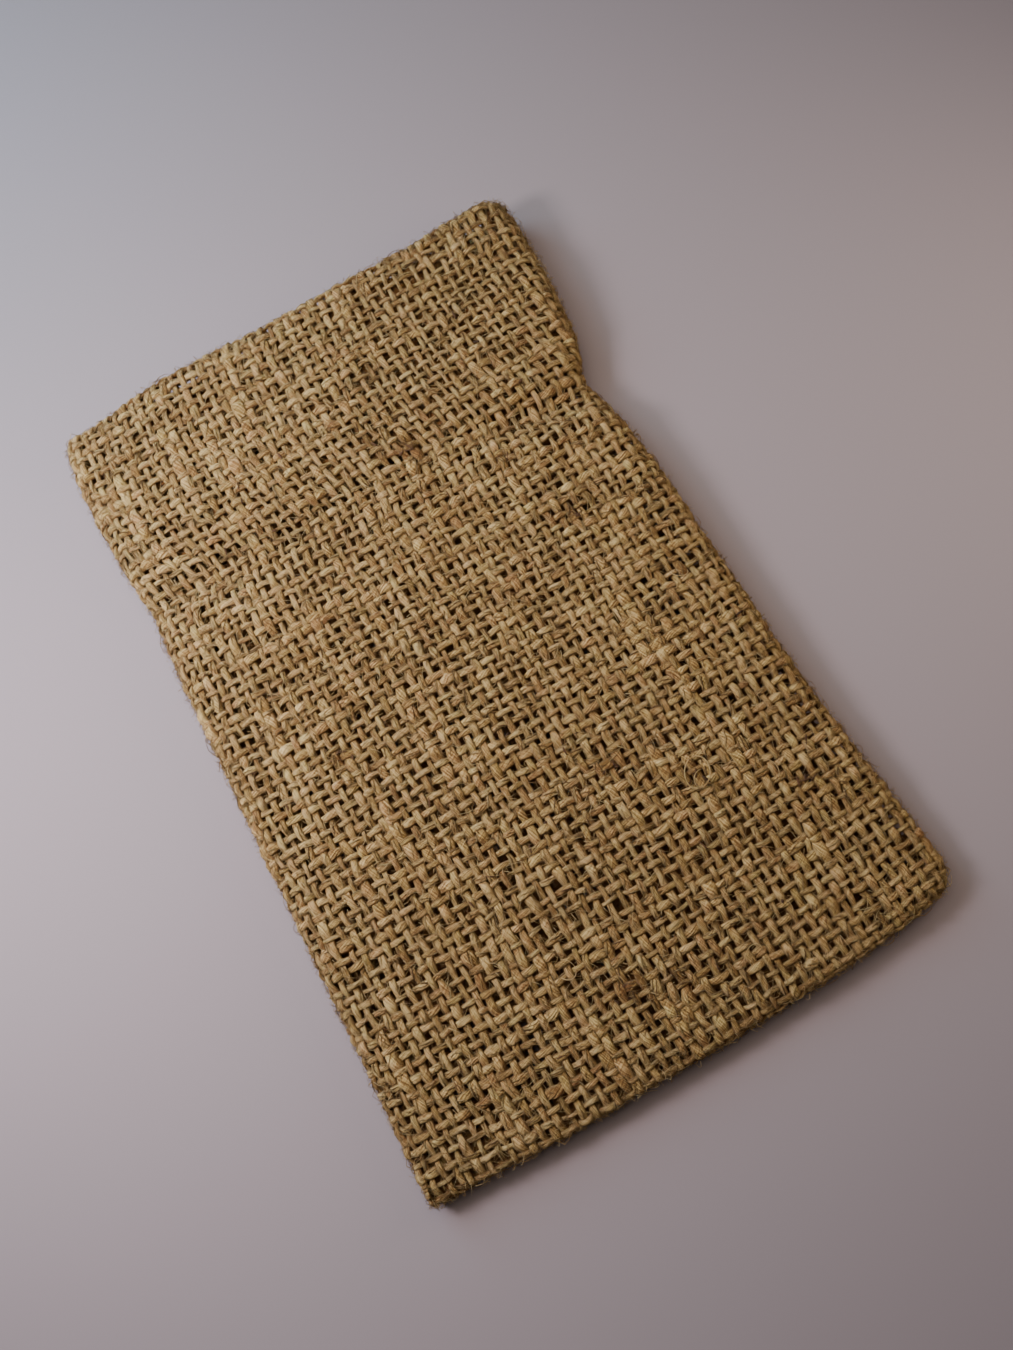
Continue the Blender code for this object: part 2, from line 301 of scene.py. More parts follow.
def outward(along, around):
    """The direction in which the cloth's outer face points."""
    step_along, step_around = 0.15, 0.0015
    down_step = lie(along + step_along, around) - lie(along - step_along, around)
    across_step = lie(along, around + step_around) - lie(along, around - step_around)
    return unit(np.cross(down_step, across_step))


# The weave is a grid of crossings: a row for each crosswise yarn, a column for each lengthwise one.
PANEL_YARNS = 54
SEAM_YARNS = 4
HEM_ROWS = 18
BODY_ROWS = 77
BOTTOM_ROWS = 4
ROW_PITCH = 2.02
FIRST_ROW = 0.31
LENGTHWISE_WIDTH = 1.44
CROSSWISE_WIDTH = 1.30
FLATNESS = 0.46

COLUMNS = 2 * PANEL_YARNS + 2 * SEAM_YARNS
ROWS = HEM_ROWS + BODY_ROWS + BOTTOM_ROWS
rng = np.random.default_rng(20)

# A yarn's thickness, place and tone change slowly, over several crossings, and quickly, at each one.
SLOW_REACH = 3.5
QUICK_REACH = 0.7

# Thickness: how far it spreads, its limits, and the thick places, called slubs, that lie anywhere.
WIDTH_SPREAD = 0.05
SLOW_WIDTH_SPREAD = 0.11
QUICK_WIDTH_SPREAD = 0.15
THINNEST = 0.62
THICKEST = 1.75
SCATTERED_SLUBS = 80
SLUB_HALF_LENGTHS = (1.0, 4.5)
SLUB_FACTORS = (1.3, 1.7)


def bell(reach):
    """A bell curve over whole steps, which falls off over reach steps on both sides."""
    steps = np.arange(-int(3 * reach) - 1, int(3 * reach) + 2)
    return np.exp(-0.5 * (steps / reach) ** 2)


def wander(rng, shape, reach):
    """Smooth random values of unit spread. They drift along the last axis over reach steps."""
    weights = bell(reach)
    weights = weights / np.sqrt((weights**2).sum())
    noise = rng.normal(size=(*shape[:-1], shape[-1] + len(weights) - 1))
    return np.apply_along_axis(np.convolve, -1, noise, weights, "valid")


def drift(rng, rows, columns, reach):
    """Smooth random values of unit spread over the whole grid."""
    values = wander(rng, (rows, columns), reach)
    weights = bell(reach)
    margin = len(weights) // 2
    padded = np.pad(values, ((margin, margin), (0, 0)), mode="wrap")
    smooth = np.apply_along_axis(np.convolve, 0, padded, weights / weights.sum(), "valid")
    return smooth / smooth.std()


def spindle(count, middle, half_length):
    """A thick place in a yarn: 1 at its middle, falling to 0 on both sides."""
    return np.exp(-(((np.arange(count) - middle) / half_length) ** 4))


def yarn_widths(rng, yarns, crossings, slubs):
    """How thick each yarn is at each crossing, from 1, with its slubs."""
    own = WIDTH_SPREAD * rng.normal(size=(yarns, 1))
    slow = SLOW_WIDTH_SPREAD * wander(rng, (yarns, crossings), SLOW_REACH)
    quick = QUICK_WIDTH_SPREAD * wander(rng, (yarns, crossings), QUICK_REACH)
    widths = np.exp(own + slow + quick)
    for yarn, middle, half_length, factor in slubs:
        widths[yarn] *= 1.0 + (factor - 1.0) * spindle(crossings, middle, half_length)
    for _ in range(SCATTERED_SLUBS):
        yarn, middle = rng.integers(yarns), rng.uniform(0, crossings)
        half_length, factor = rng.uniform(*SLUB_HALF_LENGTHS), rng.uniform(*SLUB_FACTORS)
        widths[yarn] *= 1.0 + (factor - 1.0) * spindle(crossings, middle, half_length)
    return np.clip(widths, THINNEST, THICKEST)


# Slubs that show most. Columns: yarn, crossing at the middle, half length in crossings, factor.
LENGTHWISE_SLUBS = (
    (SEAM_YARNS + 13, HEM_ROWS + 55, 12.0, 1.5),
    (SEAM_YARNS + 11, HEM_ROWS + 8, 7.0, 1.45),
    (SEAM_YARNS + 42, HEM_ROWS + 57, 4.0, 1.75),
)
CROSSWISE_SLUBS = (
    (HEM_ROWS + 25, SEAM_YARNS + 35, 9.0, 1.45),
    (HEM_ROWS + 47, SEAM_YARNS + 43, 7.0, 1.5),
    (HEM_ROWS + 66, SEAM_YARNS + 12, 5.0, 1.4),
)
lengthwise_width = yarn_widths(rng, COLUMNS, ROWS, LENGTHWISE_SLUBS).T * LENGTHWISE_WIDTH
crosswise_width = yarn_widths(rng, ROWS, COLUMNS, CROSSWISE_SLUBS) * CROSSWISE_WIDTH

# Thick yarns push their neighbours away, and every yarn strays a little from its line: lengthwise yarns
# by shares of their spacing, and crosswise ones by millimetres. Neighbours share most of the drift.
EVEN_SPACING = 0.55
PUSHED_SPACING = 0.45
DRIFT_SIDEWAYS = 0.17
DRIFT_SIDEWAYS_REACH = 7.0
STRAY_SIDEWAYS = 0.08
DRIFT_LENGTHWAYS = 0.30
DRIFT_LENGTHWAYS_REACH = 8.0
SLOW_STRAY_LENGTHWAYS = 0.16
QUICK_STRAY_LENGTHWAYS = 0.15

column = np.arange(COLUMNS) - SEAM_YARNS + 0.5
room = lengthwise_width.mean(axis=0) / lengthwise_width.mean()
crowding = np.cumsum(room) - 0.5 * room
crowding = (crowding - crowding[SEAM_YARNS]) / (crowding[-SEAM_YARNS - 1] - crowding[SEAM_YARNS])
column = EVEN_SPACING * column + PUSHED_SPACING * (crowding * (2 * PANEL_YARNS - 1) + 0.5)
shared_sideways = drift(rng, ROWS, COLUMNS, DRIFT_SIDEWAYS_REACH)
own_sideways = STRAY_SIDEWAYS * wander(rng, (COLUMNS, ROWS), SLOW_REACH).T
own_sideways = own_sideways + STRAY_SIDEWAYS * wander(rng, (COLUMNS, ROWS), QUICK_REACH).T
around = column[None, :] + DRIFT_SIDEWAYS * shared_sideways + own_sideways

row = np.arange(ROWS) - HEM_ROWS
thick = crosswise_width.mean(axis=1) / crosswise_width.mean()
pushed = np.cumsum(thick) - 0.5 * thick
pushed_run = pushed[HEM_ROWS + BODY_ROWS - 1] - pushed[HEM_ROWS]
pushed = (pushed - pushed[HEM_ROWS]) * (BODY_ROWS - 1) / pushed_run
row = EVEN_SPACING * row + PUSHED_SPACING * pushed
shared_lengthways = drift(rng, ROWS, COLUMNS, DRIFT_LENGTHWAYS_REACH)
own_lengthways = SLOW_STRAY_LENGTHWAYS * wander(rng, (ROWS, COLUMNS), SLOW_REACH)
own_lengthways = own_lengthways + QUICK_STRAY_LENGTHWAYS * wander(rng, (ROWS, COLUMNS), QUICK_REACH)
along = FIRST_ROW + ROW_PITCH * row[:, None] + DRIFT_LENGTHWAYS * shared_lengthways + own_lengthways

# The hem and the back don't lie hole over hole with the front. Shifts across are in yarn spacings.
HEM_SHIFT_ACROSS = 0.5
HEM_SHIFT_RUN = 5.0
BACK_SHIFT_ACROSS = 0.5
BACK_SHIFT_DOWN = 1.0
BACK_SHIFT_RUN = 0.2
around = around + HEM_SHIFT_ACROSS * ease(-along / HEM_SHIFT_RUN)
around = around / PANEL_YARNS
on_back = ease((around - 1.0) / BACK_SHIFT_RUN)
around = around + BACK_SHIFT_ACROSS / PANEL_YARNS * on_back
along = along + BACK_SHIFT_DOWN * on_back

# The first turned-in yarn of the front's side and of the back's bottom lies in the seam and fills it.
SEAM_FILL_ACROSS = 0.25
SEAM_FILL_UP = 0.6
turned_in = slice(HEM_ROWS + BODY_ROWS, ROWS)
around = np.where(around < 0.0, around + SEAM_FILL_ACROSS / PANEL_YARNS, around)
along[turned_in] -= SEAM_FILL_UP * on_back[turned_in]

# Across the front the rows sag below the hem, where the slack cloth has slipped down.
SAG_DEPTH = 1.4
SAG_MIDDLE = 50.0
SAG_REACH = 25.0
sag = np.clip(1.0 - (2.0 * around - 1.0) ** 2, 0.0, 1.0)
along = along + SAG_DEPTH * sag * np.exp(-(((along - SAG_MIDDLE) / SAG_REACH) ** 2))

# The weave is closer in the folded mouth, along both sides and on the back than on the front, and
# its yarns are thinner at the right end of the header. The sides' reaches are in yarn spacings, and
# the other places, reaches and runs in millimetres.
CLOSER_IN_FOLD = 0.12
CLOSER_IN_HEADER = 0.05
CLOSER_AT_SIDES = 0.10
CLOSER_ON_BACK = 0.26
THINNER_AT_HEADER_RIGHT = 0.19
THINNER_TOWARDS_BOTTOM = 0.10
FOLD_MIDDLE = 0.3
FOLD_REACH = 3.2
HEADER_END = 34.0
HEADER_EASE = 12.0
HEADER_RIGHT_EASE = 6.0
HEADER_RIGHT_START = 45.0
HEADER_RIGHT_RUN = 30.0
LEFT_SIDE_REACH = 1.8
RIGHT_SIDE_REACH = 2.6
BOTTOM_THINNING_START = 90.0
BOTTOM_THINNING_RUN = 55.0

in_fold = np.exp(-(((along - FOLD_MIDDLE) / FOLD_REACH) ** 2))
in_header = ease((HEADER_END - along) / HEADER_EASE)
at_left = np.exp(-((around * PANEL_YARNS / LEFT_SIDE_REACH) ** 2))
at_right = np.exp(-(((around - 1.0) * PANEL_YARNS / RIGHT_SIDE_REACH) ** 2))
closeness = 1.0 + CLOSER_IN_FOLD * in_fold + CLOSER_IN_HEADER * in_header
closeness = closeness + CLOSER_AT_SIDES * (at_left + at_right) + CLOSER_ON_BACK * on_back
header_right = ease((HEADER_END - along) / HEADER_RIGHT_EASE)
header_right = header_right * ease((around * PANEL_WIDTH - HEADER_RIGHT_START) / HEADER_RIGHT_RUN)
thinner = THINNER_AT_HEADER_RIGHT * header_right * (1.0 - on_back) * (1.0 - in_fold) * (along > 0.0)
slack = 1.0 - thinner
lengthwise_width = lengthwise_width * closeness * slack
towards_bottom = ease((along - BOTTOM_THINNING_START) / BOTTOM_THINNING_RUN) * (1.0 - on_back)
crosswise_width = crosswise_width * closeness * slack * (1.0 - THINNER_TOWARDS_BOTTOM * towards_bottom)

# Where the lengthwise yarn passes over the crosswise one this is 1, and -1 where it passes under.
over = np.where((np.arange(ROWS)[:, None] + np.arange(COLUMNS)[None, :]) % 2 == 0, 1.0, -1.0)
crimp = FLATNESS * (lengthwise_width + crosswise_width) / 4 / closeness
lengthwise_height = over * crimp
crosswise_height = -over * crimp


def between(values, crossing):
    """Values at crossings along yarns, read between them on a smooth curve. A row for each yarn."""
    last = values.shape[1] - 1
    crossing = np.broadcast_to(crossing, (values.shape[0], np.shape(crossing)[-1]))
    cell = np.clip(np.floor(crossing).astype(int), 0, last - 1)
    t = crossing - cell
    before, after = np.take_along_axis(values, cell, 1), np.take_along_axis(values, cell + 1, 1)
    lead_in = np.take_along_axis(values, np.maximum(cell - 1, 0), 1)
    lead_out = np.take_along_axis(values, np.minimum(cell + 2, last), 1)
    return curve(before, after - before, (after - lead_in) / 2, (lead_out - before) / 2, t)


def wave(values, crossing):
    """Heights at crossings along yarns, read between them on a cosine."""
    last = values.shape[1] - 1
    crossing = np.broadcast_to(crossing, (values.shape[0], np.shape(crossing)[-1]))
    cell = np.clip(np.floor(crossing).astype(int), 0, last - 1)
    t = (1.0 - np.cos((crossing - cell) * math.pi)) / 2
    return np.take_along_axis(values, cell, 1) * (1.0 - t) + np.take_along_axis(values, cell + 1, 1) * t


def steps_of(rings_of_stretches):
    """Places of the rings along a yarn: pairs of a number of crossings and the rings for each."""
    places, start = [], 0
    for crossings, rings in rings_of_stretches:
        places.append(start + np.arange(crossings * rings) / rings)
        start += crossings
    return np.concatenate(places + [[float(start)]])


# Each yarn's streaks start this far on from those of the yarn before. Its strip of the second map leaves
# a margin at both ends and along both sides. Painted shade darkens a yarn's underside more than its top.
STREAK_SHIFT = 37.0
STRIP_START = 0.01
STRIP_LENGTH = 0.98
STRIP_LOW = 0.08
STRIP_HEIGHT = 0.84
STRIP_ENDS = (0.005, 0.995)
SHADE_ON_UNDERSIDE = 0.75


def tubes(name, centres, outwards, widths, thicknesses, sides, tones, shade_depth, roughness):
    """Closed tubes, one for each yarn, as one mesh.

    All arrays have a row for each yarn. Painted shade darkens each yarn's colour by how deep in the weave
    it lies, up to 1, and more on its underside.
    """
    yarns, rings = widths.shape
    tones, shade_depth = np.broadcast_to(tones, widths.shape), np.broadcast_to(shade_depth, widths.shape)
    directions = unit(np.gradient(centres, axis=1))
    sideways = unit(np.cross(directions, outwards))
    upright = np.cross(sideways, directions)
    angle = (np.arange(sides) + 0.5) / sides * 2 * math.pi
    lumps = 1.0 + roughness * wander(rng, (yarns, sides, rings), 1.0).swapaxes(1, 2)
    reach_side = lumps * (widths / 2)[..., None] * np.sin(angle)
    reach_up = lumps * (thicknesses / 2)[..., None] * np.cos(angle)
    points = centres[:, :, None] + reach_side[..., None] * sideways[:, :, None]
    points = points + reach_up[..., None] * upright[:, :, None]

    yarn, ring, side = np.meshgrid(np.arange(yarns), np.arange(rings - 1), np.arange(sides), indexing="ij")
    after = (side + 1) % sides
    base = (yarn * rings + ring) * sides
    quads = np.stack((base + side, base + sides + side, base + sides + after, base + after), axis=-1)
    quads = quads.reshape(-1, 4)
    first = (np.arange(yarns) * rings * sides)[:, None] + np.arange(sides)
    last = first + (rings - 1) * sides
    caps = np.concatenate((first, last[:, ::-1]))

    mesh = bpy.data.meshes.new(name)
    mesh.vertices.add(yarns * rings * sides)
    mesh.vertices.foreach_set("co", (points * MM).astype(np.float32).ravel())
    corners = np.concatenate((quads.ravel(), caps.ravel()))
    mesh.loops.add(len(corners))
    mesh.loops.foreach_set("vertex_index", corners.astype(np.int32))
    quad_starts = np.arange(len(quads)) * 4
    cap_starts = len(quads) * 4 + np.arange(len(caps)) * sides
    mesh.polygons.add(len(quads) + len(caps))
    mesh.polygons.foreach_set("loop_start", np.concatenate((quad_starts, cap_starts)).astype(np.int32))
    mesh.update(calc_edges=True)
    mesh.validate()
    mesh.shade_smooth()

    # The fibres run along each yarn; a second map gives every yarn a strip of its own.
    step = np.linalg.norm(np.diff(centres, axis=1), axis=-1)
    length = np.concatenate((np.zeros((yarns, 1)), np.cumsum(step, axis=1)), axis=1)
    ring_corner = np.stack((ring, ring + 1, ring + 1, ring), axis=-1).reshape(-1, 4)
    side_corner = np.stack((side, side, side + 1, side + 1), axis=-1).reshape(-1, 4)
    yarn_corner = np.repeat(yarn.reshape(-1, 1), 4, axis=1)
    run = length[yarn_corner, ring_corner] + STREAK_SHIFT * yarn_corner
    fibre = np.zeros((len(corners), 2), np.float32)
    fibre[: quads.size, 0] = run.ravel()
    fibre[: quads.size, 1] = (side_corner / sides).ravel()
    strip = np.zeros((len(corners), 2), np.float32)
    strip_across = yarn_corner + STRIP_LOW + STRIP_HEIGHT * side_corner / sides
    strip[: quads.size, 0] = (STRIP_START + STRIP_LENGTH * ring_corner / (rings - 1)).ravel()
    strip[: quads.size, 1] = (strip_across / yarns).ravel()
    cap_yarns = np.tile(np.repeat(np.arange(yarns), sides), 2)
    strip[quads.size :, 0] = np.repeat(STRIP_ENDS, yarns * sides)
    strip[quads.size :, 1] = (cap_yarns + 0.5) / yarns
    mesh.uv_layers.new(name="OFBake").uv.foreach_set("vector", strip.ravel())
    mesh.uv_layers.new(name="fibre").uv.foreach_set("vector", fibre.ravel())
    tone = mesh.attributes.new("tone", "FLOAT", "POINT")
    tone.data.foreach_set("value", np.repeat(tones.ravel(), sides).astype(np.float32))
    # Painted shade: how far the colour darkens towards the shade colour, from the yarn's depth and more on
    # its underside.
    shade_amount = np.clip(shade_depth[..., None] - SHADE_ON_UNDERSIDE * np.cos(angle), 0.0, 1.0)
    painted_shade = mesh.attributes.new("painted_shade", "FLOAT", "POINT")
    painted_shade.data.foreach_set("value", shade_amount.astype(np.float32).ravel())
    piece = bpy.data.objects.new(name, mesh)
    bpy.context.scene.collection.objects.link(piece)
    return piece


# A yarn is wider and flatter on its crowns. The lowest yarns rest on their flattened undersides. Painted
# shade darkens a yarn a little on its crowns, and much more where another yarn lies over it.
CROWN_WIDER = 0.06
CROWN_FLATTER = 0.05
REST_HEIGHT = 0.52
REST_SINK = 0.1
SHADE_ON_CROWNS = 0.12
SHADE_WHERE_COVERED = 0.73
YARN_SIDES = 5
YARN_ROUGHNESS = 0.16


def yarn_path(along, around, heights, widths, places):
    """Middle line, outward direction, width and thickness of yarns at places between crossings."""
    path_along, path_around = between(along, places), between(around, places)
    normal = outward(path_along, path_around)
    centres = lie(path_along, path_around) + wave(heights, places)[..., None] * normal
    crown = np.cos(2 * math.pi * places)
    width = between(widths, places)
    thickness = width * FLATNESS * (1.0 - CROWN_FLATTER * crown)
    return centres, normal, width * (1.0 + CROWN_WIDER * crown), thickness


def woven(name, along, around, heights, widths, stretches, tones):
    """Yarns of the cloth as tubes. The arrays have a row for each yarn and a column per crossing."""
    places = steps_of(stretches)
    centres, normal, width, thickness = yarn_path(along, around, heights, widths, places)
    centres[..., 2] = np.maximum(centres[..., 2], REST_HEIGHT * thickness - REST_SINK)
    below = 0.5 - 0.5 * wave(np.sign(heights), places)
    shade_depth = SHADE_ON_CROWNS + SHADE_WHERE_COVERED * below
    tone = between(tones, places)
    return tubes(name, centres, normal, width, thickness, YARN_SIDES, tone, shade_depth, YARN_ROUGHNESS)


def jute(name, straw, bark, pale, painted_shade_colour, strands_round):
    """Dry, matt jute fibre: streaked along each yarn, with darker bark, paler strands and painted shade.
    """
    material = bpy.data.materials.new(name)
    material.use_nodes = True
    tree = material.node_tree
    nodes, links = tree.nodes, tree.links
    shader = nodes["Principled BSDF"]
    shader.inputs["Roughness"].default_value = 0.78
    shader.inputs["Specular IOR Level"].default_value = 0.25
    shader.inputs["Sheen Weight"].default_value = 0.15
    shader.inputs["Sheen Roughness"].default_value = 0.45
    shader.inputs["Sheen Tint"].default_value = (1.0, 0.84, 0.56, 1.0)

    fibre = nodes.new("ShaderNodeUVMap")
    fibre.uv_map = "fibre"
    parts = nodes.new("ShaderNodeSeparateXYZ")
    links.new(fibre.outputs["UV"], parts.inputs[0])

    def climbing(rate):
        """A spiral round the yarn: its turns so far, and a point that runs along and round it."""
        climb = nodes.new("ShaderNodeMath")
        climb.operation = "MULTIPLY_ADD"
        climb.inputs[1].default_value = rate
        links.new(parts.outputs["X"], climb.inputs[0])
        links.new(parts.outputs["Y"], climb.inputs[2])
        lap = nodes.new("ShaderNodeMath")
        lap.operation = "MULTIPLY"
        lap.inputs[1].default_value = 2 * math.pi
        links.new(climb.outputs[0], lap.inputs[0])
        sine = nodes.new("ShaderNodeMath")
        sine.operation = "SINE"
        cosine = nodes.new("ShaderNodeMath")
        cosine.operation = "COSINE"
        links.new(lap.outputs[0], sine.inputs[0])
        links.new(lap.outputs[0], cosine.inputs[0])
        point = nodes.new("ShaderNodeCombineXYZ")
        links.new(parts.outputs["X"], point.inputs["X"])
        links.new(sine.outputs[0], point.inputs["Y"])
        links.new(cosine.outputs[0], point.inputs["Z"])
        return climb.outputs[0], point.outputs[0]

    def uneven(point, scale_along, scale_round, detail):
        """Soft noise, stretched along the yarn."""
        stretch = nodes.new("ShaderNodeMapping")
        stretch.inputs["Scale"].default_value = (scale_along, scale_round, scale_round)
        links.new(point, stretch.inputs["Vector"])
        noise = nodes.new("ShaderNodeTexNoise")
        noise.inputs["Scale"].default_value = 1.0
        noise.inputs["Detail"].default_value = detail
        noise.inputs["Roughness"].default_value = 0.6
        links.new(stretch.outputs[0], noise.inputs["Vector"])
        return noise.outputs["Fac"]

    # The strands climb slowly round the yarn. Loose fibres lie over them the other way, steeper.
    strand_turns, along_strands = climbing(rate=0.07)
    _, across_strands = climbing(rate=-0.30)
    sway = uneven(along_strands, scale_along=0.30, scale_round=0.8, detail=1.0)
    hairs = uneven(along_strands, scale_along=0.55, scale_round=4.2, detail=2.0)
    matting = uneven(across_strands, scale_along=0.90, scale_round=3.6, detail=2.0)
    patches = uneven(along_strands, scale_along=0.25, scale_round=0.7, detail=2.0)
    redness = uneven(along_strands, scale_along=0.22, scale_round=0.35, detail=1.0)
    tone = nodes.new("ShaderNodeAttribute")
    tone.attribute_name = "tone"

    def mixed(first, share, second, more):
        """first times share, plus second times more."""
        weighed = nodes.new("ShaderNodeMath")
        weighed.operation = "MULTIPLY"
        weighed.inputs[1].default_value = share
        links.new(first, weighed.inputs[0])
        total = nodes.new("ShaderNodeMath")
        total.operation = "MULTIPLY_ADD"
        total.inputs[1].default_value = more
        links.new(second, total.inputs[0])
        links.new(weighed.outputs[0], total.inputs[2])
        return total.outputs[0]

    # Round strands side by side, with a narrow gap between each two of them.
    strand = mixed(strand_turns, math.pi * strands_round, sway, more=6.0)
    swing = nodes.new("ShaderNodeMath")
    swing.operation = "SINE"
    links.new(strand, swing.inputs[0])
    strands = nodes.new("ShaderNodeMath")
    strands.operation = "ABSOLUTE"
    links.new(swing.outputs[0], strands.inputs[0])
    fine = mixed(hairs, share=0.42, second=matting, more=0.38)
    streaked = mixed(strands.outputs[0], share=0.09, second=fine, more=0.85)
    shaded = mixed(patches, share=0.26, second=streaked, more=0.96)
    toned = nodes.new("ShaderNodeMath")
    toned.operation = "ADD"
    links.new(shaded, toned.inputs[0])
    links.new(tone.outputs["Fac"], toned.inputs[1])
    ramp = nodes.new("ShaderNodeValToRGB")
    stops = ramp.color_ramp.elements
    stops[0].position, stops[0].color = 0.41, (*bark, 1.0)
    stops[1].position, stops[1].color = 0.59, (*pale, 1.0)
    middle = stops.new(0.50)
    middle.color = (*straw, 1.0)
    links.new(toned.outputs[0], ramp.inputs["Fac"])

    # Painted shade: inside the weave and on their undersides the yarns are darkened towards a deep brown.
    painted_shade = nodes.new("ShaderNodeAttribute")
    painted_shade.attribute_name = "painted_shade"
    shade_mix = nodes.new("ShaderNodeMix")
    shade_mix.data_type = "RGBA"
    colours = [socket for socket in shade_mix.inputs if socket.type == "RGBA"]
    colours[1].default_value = (*painted_shade_colour, 1.0)
    links.new(painted_shade.outputs["Fac"], shade_mix.inputs[0])
    links.new(ramp.outputs["Color"], colours[0])
    blended = [socket for socket in shade_mix.outputs if socket.type == "RGBA"][0]

    # Some lengths of the fibre are greener and some redder.
    shift = nodes.new("ShaderNodeMath")
    shift.operation = "MULTIPLY_ADD"
    shift.inputs[1].default_value = 0.045
    shift.inputs[2].default_value = 0.474
    links.new(redness, shift.inputs[0])
    tinted = nodes.new("ShaderNodeHueSaturation")
    links.new(shift.outputs[0], tinted.inputs["Hue"])
    links.new(blended, tinted.inputs["Color"])
    links.new(tinted.outputs["Color"], shader.inputs["Base Color"])

    relief = nodes.new("ShaderNodeBump")
    relief.inputs["Strength"].default_value = 1.0
    relief.inputs["Distance"].default_value = 1.0 * MM
    links.new(streaked, relief.inputs["Height"])
    links.new(relief.outputs["Normal"], shader.inputs["Normal"])
    return material


# Every yarn has its own tone, and it changes along the yarn.
TONE_SPREAD = 0.008
SLOW_TONE_SPREAD = 0.016
SLOW_TONE_REACH = 3.0
QUICK_TONE_SPREAD = 0.010


def yarn_tones(rng, yarns, crossings):
    """How pale each yarn is at each crossing, from 0."""
    own = TONE_SPREAD * rng.normal(size=(yarns, 1))
    slow = SLOW_TONE_SPREAD * wander(rng, (yarns, crossings), SLOW_TONE_REACH)
    quick = QUICK_TONE_SPREAD * wander(rng, (yarns, crossings), QUICK_REACH)
    return own + slow + quick


lengthwise_tone = yarn_tones(rng, COLUMNS, ROWS)
crosswise_tone = yarn_tones(rng, ROWS, COLUMNS)

# Places with bits of bark left in the yarn, in millimetres down from the mouth and from the left seam.
BARK_PLACES = (
    (39.0, 58.5),
    (49.0, 73.5),
    (65.0, 79.0),
    (126.5, 89.5),
    (140.5, 45.0),
    (83.0, 22.0),
    (108.0, 62.0),
    (117.0, 73.5),
)
STAIN = 0.12
STAIN_REACH_DOWN = 1.6
STAIN_REACH_ACROSS = 2.0
for bark_down, bark_across in BARK_PLACES:
    down_share = (along - bark_down) / STAIN_REACH_DOWN
    across_share = (around * PANEL_WIDTH - bark_across) / STAIN_REACH_ACROSS
    stain = STAIN * np.exp(-(np.hypot(down_share, across_share) ** 2))
    lengthwise_tone = lengthwise_tone - stain.T
    crosswise_tone = crosswise_tone - stain

lengthwise_jute = jute(
    "lengthwise_jute",
    straw=(0.445, 0.280, 0.086),
    bark=(0.175, 0.088, 0.020),
    pale=(0.68, 0.50, 0.207),
    painted_shade_colour=(0.22, 0.098, 0.018),
    strands_round=13,
)

# Groups of yarns, each with its stretches: a number of crossings and the rings of the tube for each.
front_columns = slice(SEAM_YARNS, SEAM_YARNS + PANEL_YARNS)
back_columns = slice(SEAM_YARNS + PANEL_YARNS, COLUMNS - SEAM_YARNS)
seam_columns = np.r_[0:SEAM_YARNS, COLUMNS - SEAM_YARNS : COLUMNS]
FRONT_STRETCHES = ((HEM_ROWS, 2), (BODY_ROWS, 3), (BOTTOM_ROWS - 1, 2))
OTHER_STRETCHES = ((ROWS - 1, 2),)
groups = (
    ("front_lengthwise_yarns", front_columns, FRONT_STRETCHES),
    ("back_lengthwise_yarns", back_columns, OTHER_STRETCHES),
    ("seam_lengthwise_yarns", seam_columns, OTHER_STRETCHES),
)
for name, columns, stretches in groups:
    piece = woven(
        name,
        along.T[columns],
        around.T[columns],
        lengthwise_height.T[columns],
        lengthwise_width.T[columns],
        stretches,
        lengthwise_tone[columns],
    )
    piece.data.materials.append(lengthwise_jute)
    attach(piece, "root")
    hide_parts("sack_cloth")


# ---------------------------------------------------------------------------------------------------
# Crosswise yarns of the cloth
#
# They are thinner than the lengthwise ones and arch over them in short, bright crowns. Each runs from
# the left seam over the front, round the right fold and back over the lower side to the seam.
# ---------------------------------------------------------------------------------------------------

crosswise_jute = jute(
    "crosswise_jute",
    straw=(0.466, 0.295, 0.094),
    bark=(0.185, 0.093, 0.022),
    pale=(0.72, 0.538, 0.229),
    painted_shade_colour=(0.22, 0.098, 0.018),
    strands_round=12,
)

FRONT_AND_BACK = ((SEAM_YARNS, 2), (PANEL_YARNS, 3), (PANEL_YARNS + SEAM_YARNS - 1, 2))
INSIDE = ((COLUMNS - 1, 2),)
middle_row = HEM_ROWS + BODY_ROWS // 2
groups = (
    ("crosswise_yarns_mouth_half", slice(HEM_ROWS, middle_row), FRONT_AND_BACK),
    ("crosswise_yarns_bottom_half", slice(middle_row, HEM_ROWS + BODY_ROWS), FRONT_AND_BACK),
    ("crosswise_yarns_hem", slice(0, HEM_ROWS), INSIDE),
    ("crosswise_yarns_bottom_seam", turned_in, INSIDE),
)
for name, rows, stretches in groups:
    piece = woven(
        name,
        along[rows],
        around[rows],
        crosswise_height[rows],
        crosswise_width[rows],
        stretches,
        crosswise_tone[rows],
    )
    piece.data.materials.append(crosswise_jute)
    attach(piece, "root")
    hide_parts("sack_cloth")


# ---------------------------------------------------------------------------------------------------
# Raised strands of the yarns
#
# The yarns are spun loosely from coarse fibre, so single strands stand a little proud of them. They
# climb round the yarn in the direction of its twist, start inside it, and some come free at the end.
# ---------------------------------------------------------------------------------------------------

# Strands and fibres are so thin that three sides make them round enough.
THIN_SIDES = 3
STRANDS_A_DIRECTION = 3900
STRAND_POINTS = 4
STRAND_RUNS = (0.7, 1.7)
STRAND_WIDTH = 0.22
STRAND_WIDTH_FACTORS = (0.5, 1.3)
STRAND_TAPER = (0.45, 1.0, 0.9, 0.35)
STRAND_FLATNESS = 0.7
TWIST_PER_CROSSING = 0.7
PLACE_ROUND_SPREAD = 0.8
SWERVE_SPREAD = 0.5

